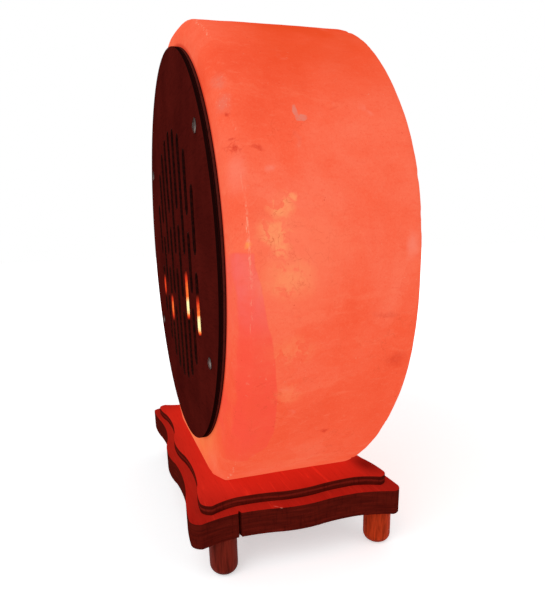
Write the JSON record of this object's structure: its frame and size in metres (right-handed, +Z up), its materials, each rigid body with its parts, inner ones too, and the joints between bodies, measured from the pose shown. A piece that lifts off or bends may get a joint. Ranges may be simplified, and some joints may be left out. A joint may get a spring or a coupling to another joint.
{
  "type": "salt crystal lamp",
  "caption": "Table lamp made of a thick drum of rock salt on edge, lit from inside, with a pierced round wooden plaque on its face, on a two-tier serpentine wooden base with round peg feet.",
  "frame": {"origin": "middle of the base, on the surface that the feet stand on", "axes": "+Z up, -Y towards the front, where the plaque is, X along the base's long side and across the drum's face"},
  "size_m": [0.25, 0.1184, 0.2745],
  "materials": {
    "rock_salt": "translucent, lit from inside, lightly polished",
    "stained_board": "satin stained board with burnt cut edges",
    "stained_board_back": "satin stained board with burnt cut edges",
    "chrome_screw": "bright",
    "plug_plastic": "moulded",
    "upper_board_wood": "red-brown stained wood, satin",
    "lower_board_wood": "red-brown stained wood, satin",
    "foot_wood": "turned wood, satin",
    "zinc_screw": "zinc plated",
    "holder_plastic": "moulded, black",
    "grip_plastic": "moulded, black",
    "ceramic_block": "unglazed",
    "nickel_shell": "nickel plated, rolled",
    "brass_contact": "stamped",
    "spring_steel": "spring steel strip",
    "solder_pip": "solder",
    "dark_glass": "fired dark glass",
    "lit_glass": "clear, lit",
    "stem_glass": "clear",
    "lead_wire": "drawn wire",
    "glowing_filament": "coiled wire, lit"
  },
  "bodies": {
    "base_and_drum": {"base_upper_board": "upper_board_wood", "base_lower_board": "lower_board_wood", "foot_front_left": "foot_wood", "foot_front_right": "foot_wood", "foot_back_left": "foot_wood", "foot_back_right": "foot_wood", "board_screws": "zinc_screw", "drum_screws": "zinc_screw", "drum_washers": "zinc_screw", "drum_plugs": "plug_plastic", "salt_block": "rock_salt", "plaque_front": "stained_board", "plaque_back": "stained_board_back", "plaque_screws": "chrome_screw", "plaque_plugs": "plug_plastic"},
    "lamp_unit": {"holder_body": "holder_plastic", "holder_cap": "holder_plastic", "cord_grip": "grip_plastic", "terminal_block": "ceramic_block", "screw_shell": "nickel_shell", "centre_contact": "brass_contact", "side_contact": "brass_contact", "terminal_screws": "brass_contact", "clip_band": "spring_steel"},
    "arm_left": {"clip_arm_left": "spring_steel"},
    "arm_right": {"clip_arm_right": "spring_steel"},
    "bulb_tip": {"bulb_contact": "solder_pip"},
    "bulb": {"bulb_insulator": "dark_glass", "bulb_cap": "nickel_shell", "bulb_glass": "lit_glass", "bulb_stem": "stem_glass", "bulb_leads": "lead_wire", "filament_supports": "lead_wire", "bulb_filament": "glowing_filament"}
  },
  "joints": [
    {"name": "lamp_unit_pull", "type": "slide", "parent": "base_and_drum", "child": "lamp_unit", "axis": [0, 0, -1], "range_m": [0, 0.14]},
    {"name": "clip_squeeze_left", "type": "hinge", "parent": "lamp_unit", "child": "arm_left", "pos_m": [-0.0158, 0, 0.047], "axis": [0, -1, 0], "range_deg": [0, 6], "stiffness_Nm_per_rad": 0.2},
    {"name": "clip_squeeze_right", "type": "hinge", "parent": "lamp_unit", "child": "arm_right", "pos_m": [0.0158, 0, 0.047], "axis": [0, 1, 0], "range_deg": [0, 6], "stiffness_Nm_per_rad": 0.2},
    {"name": "bulb_rise", "type": "slide", "parent": "lamp_unit", "child": "bulb_tip", "axis": [0, 0, 1], "range_m": [0, 0.0145]},
    {"name": "bulb_turn", "type": "hinge", "parent": "bulb_tip", "child": "bulb", "pos_m": [0, 0, 0.06], "axis": [0, 0, 1], "range_deg": [0, 1800]}
  ],
  "couplings": [
    {"joint": "bulb_rise", "follows": "bulb_turn", "m_per_rad": 0.00044882}
  ]
}
